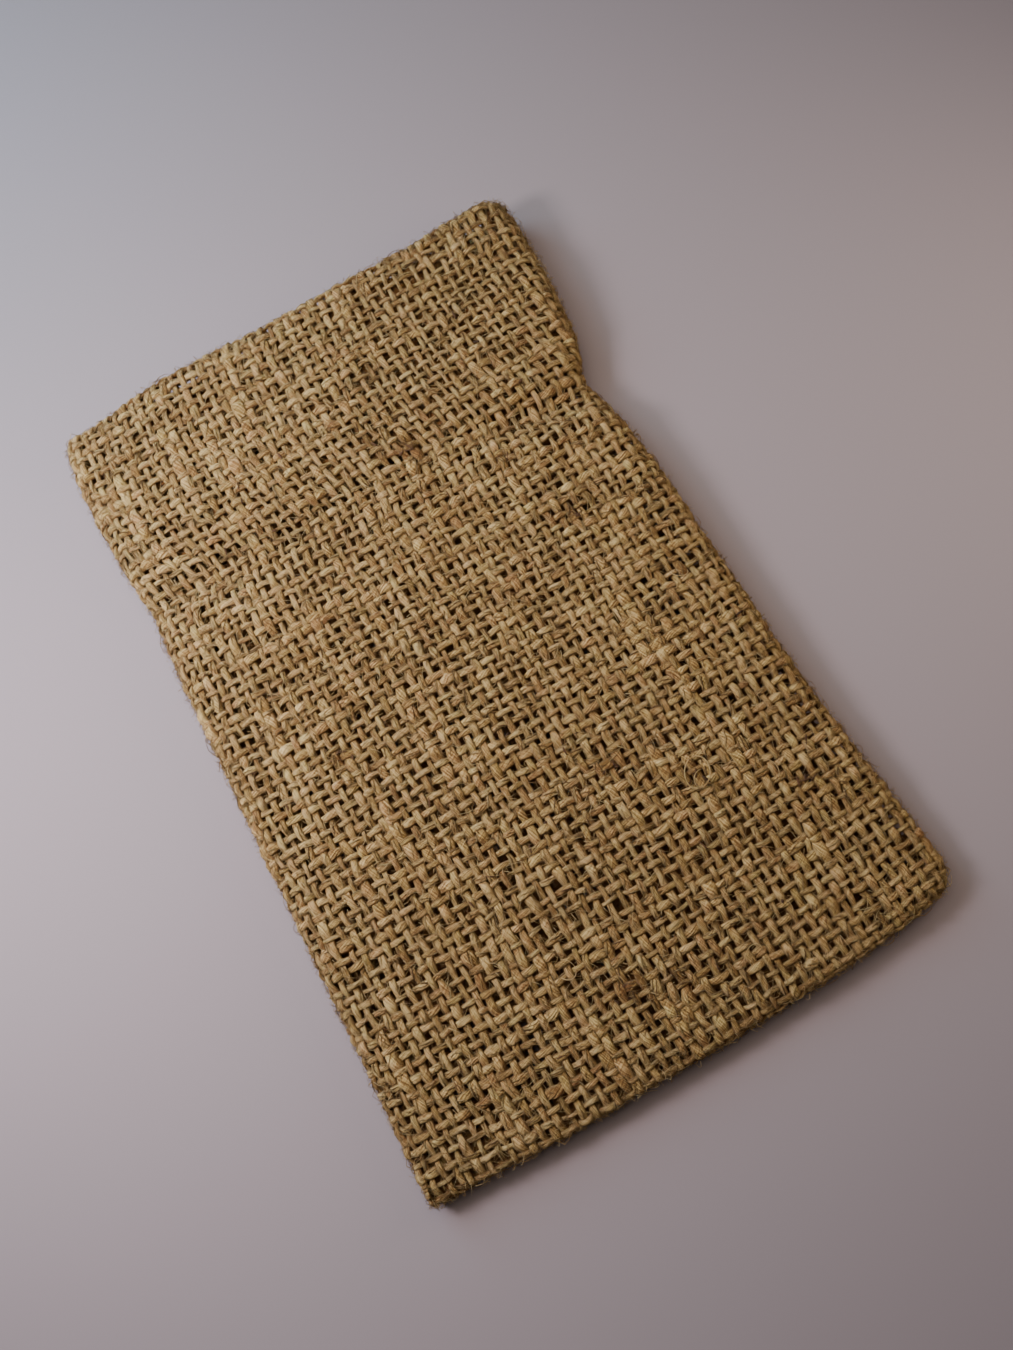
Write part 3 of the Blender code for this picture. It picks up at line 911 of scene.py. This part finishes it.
# How far a strand stands out: along its whole run, and at its free end.
PROUD_AT_MOST = 0.10
FREE_END_LIFT = 0.10
FREE_END_LIFT_AT_MOST = 0.35
STRAND_SINK = 0.02
STRAND_TONE_SPREAD = 0.07
# Raised strands get painted shade only on their undersides, and little of it.
STRAND_SHADE = -0.6


def raised_strands(name, along, around, heights, widths, tones, material):
    """Strands on the outer side of the yarns of one direction. A row for each yarn."""
    count = STRANDS_A_DIRECTION
    yarn = rng.integers(0, len(along), count)
    run = rng.uniform(*STRAND_RUNS, (count, 1))
    start = rng.uniform(0.0, 1.0, (count, 1)) * (along.shape[1] - 1 - run)
    walk = np.linspace(0.0, 1.0, STRAND_POINTS)
    places = start + walk * run
    centres, normal, width, thickness = yarn_path(
        along[yarn], around[yarn], heights[yarn], widths[yarn], places
    )
    directions = unit(np.gradient(centres, axis=1))
    sideways = unit(np.cross(directions, normal))
    upright = np.cross(sideways, directions)
    middle = rng.normal(0.0, PLACE_ROUND_SPREAD, (count, 1))
    swerve = rng.normal(0.0, SWERVE_SPREAD, (count, 1)) * walk**2
    angle = middle + TWIST_PER_CROSSING * run * (walk - 0.5) + swerve
    proud = rng.uniform(0.0, PROUD_AT_MOST, (count, 1)) * np.sin(walk * math.pi)
    free_end = rng.gamma(1.0, FREE_END_LIFT, (count, 1)).clip(0.0, FREE_END_LIFT_AT_MOST)
    proud = proud + free_end * walk**3 - STRAND_SINK
    centres = centres + (np.sin(angle) * (width / 2 + proud))[..., None] * sideways
    centres = centres + (np.cos(angle) * (thickness / 2 + proud))[..., None] * upright
    thick = STRAND_WIDTH * rng.uniform(*STRAND_WIDTH_FACTORS, (count, 1)) * np.array(STRAND_TAPER)
    tone = between(tones[yarn], places) + STRAND_TONE_SPREAD * rng.normal(size=(count, 1))
    flat = STRAND_FLATNESS * thick
    piece = tubes(name, centres, normal, thick, flat, THIN_SIDES, tone, STRAND_SHADE, 0.0)
    piece.data.materials.append(material)
    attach(piece, "root")
    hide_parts("sack_cloth")


front = (slice(HEM_ROWS, HEM_ROWS + BODY_ROWS), front_columns)
raised_strands(
    "raised_strands_lengthwise",
    along[front].T,
    around[front].T,
    lengthwise_height[front].T,
    lengthwise_width[front].T,
    lengthwise_tone.T[front].T,
    lengthwise_jute,
)
raised_strands(
    "raised_strands_crosswise",
    along[front],
    around[front],
    crosswise_height[front],
    crosswise_width[front],
    crosswise_tone[front],
    crosswise_jute,
)


# ---------------------------------------------------------------------------------------------------
# Loose fibres
#
# Jute sheds: short, fine fibres have worked out of every yarn. They lie over the weave and in its
# holes, and stand out as a thin fuzz along the edges.
# ---------------------------------------------------------------------------------------------------

LEFT_EDGE, RIGHT_EDGE, MOUTH_OR_BOTTOM = range(3)

# Where the fibres at the edges start: across the cloth in shares of the sack's width, where the left
# seam is at 0 on the front and at 2 on the back, and down it in millimetres.
EDGE_SPREAD = 0.02
FURTHEST_ON_BACK = 0.012
RIGHT_EDGE_MIDDLE = 0.985
BOTTOM_EDGE_BAND = 3.0
MOUTH_EDGE_BAND = 1.5

# No fibre runs further round the edges than this: up into the hem, past the bottom and past the seam.
HEM_LIMIT = -2.0
BOTTOM_LIMIT = BOTTOM_END + 0.2
SEAM_LIMIT = 0.002

# Lengths and lifts follow a gamma curve: many short or low ones, and few long or high ones.
SHORTEST_FIBRE = 0.7
LENGTH_SHAPE = 2.5
LIFT_SHAPE = 2.0
EDGE_LIFTS = (0.2, 1.0)
BEND_SPREAD = 0.30
WIGGLE_SPREAD = 0.25
WIGGLE_RATE = 3
SHARE_LYING_DOWN = 0.65
STANDING_CURVE = 1.3
HIGHEST_START = 0.7
LEAST_FLOOR_GAP = 0.05
FIBRE_WIDTH_FACTORS = (0.5, 1.5)
FIBRE_TIP = 0.35
FIBRE_TONE_SPREAD = 0.08
# Loose fibres, curls and bits of bark lie outside the weave and get no painted shade.
UNSHADED_OUTSIDE_WEAVE = -1.0

loose_jute = jute(
    "loose_jute",
    straw=(0.62, 0.38, 0.11),
    bark=(0.30, 0.14, 0.035),
    pale=(0.86, 0.66, 0.30),
    painted_shade_colour=(0.30, 0.15, 0.04),
    strands_round=2,
)


def loose_fibres(name, count, points, thickness, at_edges, on_back, lengths, longest, lowest, lifts):
    """Short, thin fibres that start anywhere on the cloth, lie over it or stand up from it."""
    at_edge = rng.random(count) < at_edges
    edge = rng.integers(0, 3, count)
    start_along = rng.uniform(0.0, BOTTOM_END, count)
    start_around = rng.uniform(0.0, 1.0, count) + (rng.random(count) < on_back)
    left_start = rng.normal(0.0, EDGE_SPREAD, count)
    back_start = 2.0 + FURTHEST_ON_BACK + left_start
    left_start = np.where(left_start < -FURTHEST_ON_BACK, back_start, np.abs(left_start))
    right_start = rng.normal(RIGHT_EDGE_MIDDLE, EDGE_SPREAD, count)
    start_around = np.where(at_edge & (edge == LEFT_EDGE), left_start, start_around)
    start_around = np.where(at_edge & (edge == RIGHT_EDGE), right_start, start_around)
    bottom_start = BOTTOM_END - rng.random(count) * BOTTOM_EDGE_BAND
    mouth_start = rng.random(count) * MOUTH_EDGE_BAND
    end_start = np.where(rng.random(count) < 0.5, bottom_start, mouth_start)
    start_along = np.where(at_edge & (edge == MOUTH_OR_BOTTOM), end_start, start_along)
    length = np.minimum(SHORTEST_FIBRE + rng.gamma(LENGTH_SHAPE, lengths, count), longest)
    heading = rng.uniform(0, 2 * math.pi, count)
    bend = rng.normal(0.0, BEND_SPREAD, count)
    edge_lift = rng.uniform(*EDGE_LIFTS, count)
    lift = np.where(at_edge, edge_lift, rng.gamma(LIFT_SHAPE, lifts, count).clip(0.0, 1.0))
    walk = np.linspace(0.0, 1.0, points)
    run = walk * length[:, None]
    wiggle = WIGGLE_SPREAD * rng.normal(size=(count, 1)) * np.sin(WIGGLE_RATE * run)
    angle = heading[:, None] + bend[:, None] * run + wiggle
    step = length[:, None] / (points - 1)
    side_run = np.cumsum(np.cos(angle), axis=1) * step
    down_run = np.cumsum(np.sin(angle), axis=1) * step
    lies_down = rng.random((count, 1)) < SHARE_LYING_DOWN
    arch = np.where(lies_down, np.sin(walk * math.pi), walk**STANDING_CURVE)
    height = rng.uniform(lowest, HIGHEST_START, (count, 1)) + lift[:, None] * arch
    fibre_along = np.clip(start_along[:, None] + down_run, HEM_LIMIT, BOTTOM_LIMIT)
    fibre_around = start_around[:, None] + side_run / PANEL_WIDTH
    fibre_around = np.clip(fibre_around, -SEAM_LIMIT, 2.0 + SEAM_LIMIT)
    normal = outward(fibre_along, fibre_around)
    centres = lie(fibre_along, fibre_around) + height[..., None] * normal
    centres[..., 2] = np.maximum(centres[..., 2], LEAST_FLOOR_GAP)
    taper = np.linspace(1.0, FIBRE_TIP, points)
    thick = thickness * rng.uniform(*FIBRE_WIDTH_FACTORS, (count, 1)) * taper
    tone = FIBRE_TONE_SPREAD * rng.normal(size=(count, 1))
    piece = tubes(name, centres, normal, thick, thick, THIN_SIDES, tone, UNSHADED_OUTSIDE_WEAVE, 0.0)
    piece.data.materials.append(loose_jute)
    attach(piece, "root")
    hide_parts("sack_cloth")


loose_fibres(
    "loose_fibres_over_weave",
    count=7000,
    points=4,
    thickness=0.11,
    at_edges=0.20,
    on_back=0.14,
    lengths=0.75,
    longest=6.0,
    lowest=0.1,
    lifts=0.14,
)
loose_fibres(
    "loose_fibres_in_holes",
    count=6500,
    points=3,
    thickness=0.12,
    at_edges=0.0,
    on_back=0.0,
    lengths=0.35,
    longest=2.6,
    lowest=-0.25,
    lifts=0.05,
)
loose_fibres(
    "fuzz_along_edges",
    count=4200,
    points=3,
    thickness=0.07,
    at_edges=1.0,
    on_back=0.25,
    lengths=0.28,
    longest=1.8,
    lowest=0.2,
    lifts=0.25,
)


# ---------------------------------------------------------------------------------------------------
# Stray curled fibres
#
# A few long single fibres of the jute have come out of the yarns. They lie curled on the front, and
# only the weave's roughness holds them.
# ---------------------------------------------------------------------------------------------------

# Columns: down from the mouth, across from the left seam, half the length and width of the ring, how
# far it leans to the right in degrees, turns, start in turns, and thickness.
CURLS = (
    (116.4, 73.8, 2.8, 2.1, -33.0, 1.12, 0.94, 0.32),
    (117.4, 74.0, 1.6, 1.2, -60.0, 0.60, 0.60, 0.20),
    (96.0, 52.0, 1.5, 1.2, 10.0, 0.70, 0.10, 0.20),
    (133.0, 38.0, 1.9, 1.5, 40.0, 0.60, 0.75, 0.22),
    (64.0, 30.0, 1.7, 1.3, 0.0, 0.55, 0.55, 0.20),
    (122.0, 84.0, 2.2, 1.8, 20.0, 0.40, 0.05, 0.22),
    (50.0, 70.0, 1.6, 1.2, 70.0, 0.65, 0.85, 0.20),
    (146.0, 66.0, 2.0, 1.6, -50.0, 0.50, 0.40, 0.22),
    (84.0, 90.0, 1.8, 1.4, 30.0, 0.45, 0.65, 0.20),
)
CURL_POINTS = 22
CURL_OPENING = 0.16
CURL_WANDER = 0.03
CURL_WANDER_REACH = 2.0
CURL_LOWEST = 0.60
CURL_ARCH = 0.8
CURL_TAPER = 0.4
CURL_TONE = 0.06

curl_down, curl_across, half_length, half_width, curl_lean, curl_turns, curl_start, curl_width = (
    column[:, None] for column in np.array(CURLS).T
)
walk = np.linspace(0.0, 1.0, CURL_POINTS)
angle = 2 * math.pi * (curl_start + curl_turns * walk)
unevenness = CURL_WANDER * wander(rng, (len(CURLS), CURL_POINTS), CURL_WANDER_REACH)
opening = 1.0 + CURL_OPENING * (walk - 0.5) + unevenness
long_way = half_length * opening * np.cos(angle)
short_way = half_width * opening * np.sin(angle)
lean = np.radians(curl_lean)
curl_along = curl_down + long_way * np.cos(lean) - short_way * np.sin(lean)
curl_around = (curl_across + long_way * np.sin(lean) + short_way * np.cos(lean)) / PANEL_WIDTH
curl_normal = outward(curl_along, curl_around)
curl_height = CURL_LOWEST + CURL_ARCH * np.sin(math.pi * walk) ** 0.5
curl_centres = lie(curl_along, curl_around) + curl_height[..., None] * curl_normal
curl_thick = curl_width * (1.0 - CURL_TAPER * walk)
curls = tubes(
    "stray_curled_fibres",
    curl_centres,
    curl_normal,
    curl_thick,
    curl_thick,
    sides=4,
    tones=CURL_TONE,
    shade_depth=UNSHADED_OUTSIDE_WEAVE,
    roughness=0.0,
)
curls.data.materials.append(loose_jute)
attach(curls, "root")
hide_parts("sack_cloth")


# ---------------------------------------------------------------------------------------------------
# Bits of bark
#
# The fibre isn't combed clean: small flakes of the plant's brown bark are caught between the yarns,
# most of them where the yarn itself is stained.
# ---------------------------------------------------------------------------------------------------

BITS_AT_STAINS = 6
BITS_ELSEWHERE = 46
SCATTER_DOWN = 0.9
SCATTER_ACROSS = 1.1
ELSEWHERE_DOWN = (4, 150)
ELSEWHERE_ACROSS = (3, 100)
BIT_POINTS = 4
BIT_LENGTHS = (0.7, 2.0)
BIT_WIDTHS = (0.22, 0.50)
BIT_TAPER = (0.5, 1.0, 0.9, 0.4)
BIT_FLATNESS = 0.4
BIT_HEIGHTS = (0.25, 0.75)
BIT_TURN_SPREAD = 0.35
BIT_TONE_SPREAD = 0.03

stain_down, stain_across = np.repeat(np.array(BARK_PLACES), BITS_AT_STAINS, axis=0).T
near_down = stain_down + rng.normal(0.0, SCATTER_DOWN, len(stain_down))
bit_down = np.concatenate((near_down, rng.uniform(*ELSEWHERE_DOWN, BITS_ELSEWHERE)))
near_across = stain_across + rng.normal(0.0, SCATTER_ACROSS, len(stain_across))
bit_across = np.concatenate((near_across, rng.uniform(*ELSEWHERE_ACROSS, BITS_ELSEWHERE)))
bits = len(bit_down)
walk = np.linspace(-0.5, 0.5, BIT_POINTS)
bit_length = rng.uniform(*BIT_LENGTHS, (bits, 1))
bit_heading = rng.integers(0, 2, (bits, 1)) * math.pi / 2
bit_heading = bit_heading + rng.normal(0.0, BIT_TURN_SPREAD, (bits, 1))
bit_along = bit_down[:, None] + walk * bit_length * np.sin(bit_heading)
bit_around = (bit_across[:, None] + walk * bit_length * np.cos(bit_heading)) / PANEL_WIDTH
bit_normal = outward(bit_along, bit_around)
bit_height = rng.uniform(*BIT_HEIGHTS, (bits, 1))
bit_centres = lie(bit_along, bit_around) + bit_height[..., None] * bit_normal
bit_width = rng.uniform(*BIT_WIDTHS, (bits, 1)) * np.array(BIT_TAPER)
bark_bits = tubes(
    "bits_of_bark",
    bit_centres,
    bit_normal,
    bit_width,
    BIT_FLATNESS * bit_width,
    sides=5,
    tones=BIT_TONE_SPREAD * rng.normal(size=(bits, 1)),
    shade_depth=UNSHADED_OUTSIDE_WEAVE,
    roughness=0.15,
)
bark = jute(
    "bark",
    straw=(0.13, 0.055, 0.020),
    bark=(0.05, 0.020, 0.008),
    pale=(0.26, 0.13, 0.05),
    painted_shade_colour=(0.06, 0.025, 0.01),
    strands_round=3,
)
bark_bits.data.materials.append(bark)
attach(bark_bits, "root")
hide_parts("sack_cloth")


# ---------------------------------------------------------------------------------------------------
# Turned ends of the side seam
#
# At both ends of the sewn side the cut yarns of the allowance are bent round the corner and caught by
# the seam, so that a small, hard, brown knob of yarn stands there.
# ---------------------------------------------------------------------------------------------------

ENDS_A_CORNER = 6
END_POINTS = 9
END_START = 0.004
END_INSET = 1.1
END_REACHES = (0.75, 1.15)
END_STEP_OUT = 0.12
END_HEIGHTS = (1.5, 1.9)
END_MIDDLE_INSET = 1.6
END_WIDTH = 0.85
END_WIDTH_FACTORS = (0.8, 1.2)
END_TIP = 0.75
END_BULGE = 0.25
END_FLATNESS = 0.6
END_SIDES = 6
END_ROUGHNESS = 0.20
END_WANDER = 0.12
END_WANDER_REACH = 2.0

# An end bends by nearly half a turn. TURN_FROM and TURN_BY are shares of a half turn.
TURN_FROM = 0.04
TURN_BY = 0.92
TURN_SPREAD = 0.10
END_TONE = -0.028
END_TONE_SPREAD = 0.02
# The seam ends get a little painted shade on their sides and more on their undersides.
END_SHADE = 0.1


def seam_ends(name, corner_along, step_along, step_up):
    """Yarn ends bent round one corner, from the front over the edge to the back."""
    number = np.arange(ENDS_A_CORNER)[:, None]
    walk = np.linspace(0.0, 1.0, END_POINTS)
    start = lie(np.full((1, 1), corner_along), np.full((1, 1), END_START))[0, 0]
    turn = math.pi * (TURN_FROM + TURN_BY * walk) + TURN_SPREAD * rng.normal(size=(ENDS_A_CORNER, 1))
    reach = rng.uniform(*END_REACHES, (ENDS_A_CORNER, 1))
    sideways = END_INSET - reach * np.sin(turn) - END_STEP_OUT * number
    height = start[2] + rng.uniform(*END_HEIGHTS, (ENDS_A_CORNER, 1)) * np.cos(turn)
    stray = END_WANDER * wander(rng, (ENDS_A_CORNER, END_POINTS), END_WANDER_REACH)
    lengthways = step_along * number + step_up * (walk - 0.5) + stray
    centres = np.stack((start[0] + sideways, start[1] + lengthways, height), axis=-1)
    middle = np.array((start[0] + END_MIDDLE_INSET, 0.0, start[2]))
    away = unit((centres - middle) * np.array((1.0, 0.0, 1.0)))
    bulge = END_TIP + END_BULGE * np.sin(math.pi * walk)
    width = END_WIDTH * rng.uniform(*END_WIDTH_FACTORS, (ENDS_A_CORNER, 1)) * bulge
    tone = END_TONE + END_TONE_SPREAD * rng.normal(size=(ENDS_A_CORNER, 1))
    flat = END_FLATNESS * width
    piece = tubes(name, centres, away, width, flat, END_SIDES, tone, END_SHADE, END_ROUGHNESS)
    piece.data.materials.append(lengthwise_jute)
    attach(piece, "root")
    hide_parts("sack_cloth")


seam_ends("seam_ends_mouth", corner_along=1.2, step_along=-0.62, step_up=0.5)
seam_ends("seam_ends_bottom", corner_along=BOTTOM_START - 1.6, step_along=-0.55, step_up=-0.5)


# ---------------------------------------------------------------------------------------------------
# Floor, light and camera
#
# A plain, pale floor. A large, cool window light comes from behind on the left, a large, warm one from
# above, a small lamp from the left and a weak, warm one from the right. A faint glow comes from all
# round. Sizes and places are in metres.
# ---------------------------------------------------------------------------------------------------

floor_mesh = bpy.data.meshes.new("floor")
floor_corners = [(-3, -3, 0), (3, -3, 0), (3, 3, 0), (-3, 3, 0)]
floor_mesh.from_pydata(floor_corners, [], [(0, 1, 2, 3)])
floor = bpy.data.objects.new("floor", floor_mesh)
floor.location = (0.0, 0.0, -0.0002)
floor_material = bpy.data.materials.new("floor")
floor_material.use_nodes = True
floor_shader = floor_material.node_tree.nodes["Principled BSDF"]
floor_shader.inputs["Base Color"].default_value = (0.345, 0.296, 0.303, 1.0)
floor_shader.inputs["Roughness"].default_value = 0.9
floor_mesh.materials.append(floor_material)
bpy.context.scene.collection.objects.link(floor)


def soft_light(name, place, size, power, colour):
    """A square light that faces the sack."""
    data = bpy.data.lights.new(name, "AREA")
    data.size = size
    data.energy = power
    data.color = colour
    light = bpy.data.objects.new(name, data)
    light.location = place
    light.rotation_euler = Vector(place).to_track_quat("Z", "Y").to_euler()
    bpy.context.scene.collection.objects.link(light)


soft_light("window", place=(-0.12, 0.20, 0.14), size=0.16, power=0.58, colour=(0.57, 0.79, 1.0))
soft_light("ceiling", place=(-0.020, 0.060, 0.19), size=0.20, power=0.22, colour=(1.0, 0.88, 0.78))
soft_light("left_lamp", place=(-0.13, 0.045, 0.13), size=0.045, power=0.33, colour=(1.0, 0.88, 0.95))
soft_light("right_lamp", place=(0.15, -0.02, 0.095), size=0.10, power=0.08, colour=(1.0, 0.79, 0.64))

world = bpy.data.worlds.new("world")
bpy.context.scene.world = world
world.use_nodes = True
sky = world.node_tree.nodes["Background"]
sky.inputs["Color"].default_value = (1.0, 0.86, 0.76, 1.0)
sky.inputs["Strength"].default_value = 0.05

CAMERA_AIM = Vector((3.04, -6.70, 4.0)) * MM
CAMERA_DISTANCE = 168.13 * MM
CAMERA_AZIMUTH = math.radians(11.30)
CAMERA_ELEVATION = math.radians(76.41)
CAMERA_ROLL = math.radians(18.64)
CAMERA_LENS = 16.64

away = Vector((
    -math.sin(CAMERA_AZIMUTH) * math.cos(CAMERA_ELEVATION),
    -math.cos(CAMERA_AZIMUTH) * math.cos(CAMERA_ELEVATION),
    math.sin(CAMERA_ELEVATION),
))
level_right = Vector((0, 0, 1)).cross(away).normalized()
level_up = away.cross(level_right)
camera_up = level_up * math.cos(CAMERA_ROLL) + level_right * math.sin(CAMERA_ROLL)
camera_right = camera_up.cross(away)
camera_data = bpy.data.cameras.new("camera")
camera_data.sensor_fit = "VERTICAL"
camera_data.sensor_height = 24.0
camera_data.lens = CAMERA_LENS
camera_data.clip_start = 0.01
camera_data.clip_end = 20.0
camera = bpy.data.objects.new("camera", camera_data)
bpy.context.scene.collection.objects.link(camera)
axes = Matrix((camera_right, camera_up, away)).transposed()
camera.matrix_world = Matrix.Translation(CAMERA_AIM + away * CAMERA_DISTANCE) @ axes.to_4x4()
bpy.context.scene.camera = camera
